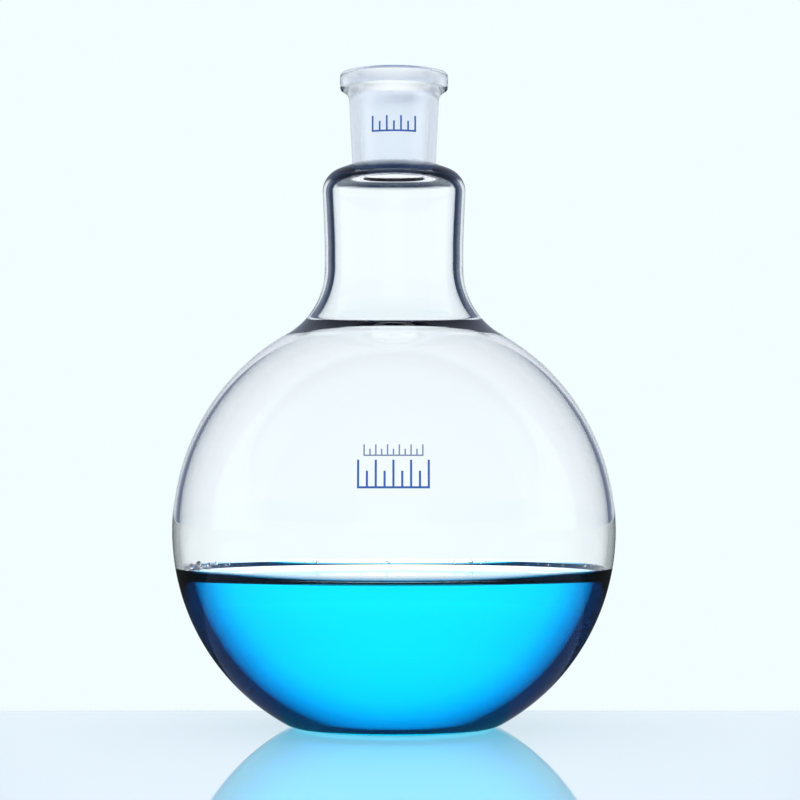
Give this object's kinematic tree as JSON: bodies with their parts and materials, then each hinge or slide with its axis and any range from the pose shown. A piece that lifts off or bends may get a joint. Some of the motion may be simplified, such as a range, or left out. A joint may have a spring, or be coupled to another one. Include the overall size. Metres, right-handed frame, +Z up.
{
  "type": "boiling flask",
  "caption": "Flat-bottomed boiling flask: thin spherical bulb, wide straight neck and tapered ground socket, part full of blue solution.",
  "frame": {"origin": "middle of the flat foot, on the surface the flask stands on", "axes": "+Z up along the flask's axis towards the socket's mouth; the printed marks face -Y"},
  "size_m": [0.1306, 0.1306, 0.194],
  "materials": {
    "clear_glass": "clear, fire-polished",
    "ground_glass": "ground bore, clear outside",
    "blue_solution": "clear bright blue liquid",
    "blue_enamel": "fired enamel print"
  },
  "bodies": {
    "root": {"bulb": "clear_glass", "neck": "clear_glass", "ground_socket": "ground_glass", "solution": "blue_solution", "capacity_mark": "blue_enamel", "grade_mark": "blue_enamel", "socket_mark": "blue_enamel"}
  },
  "joints": []
}
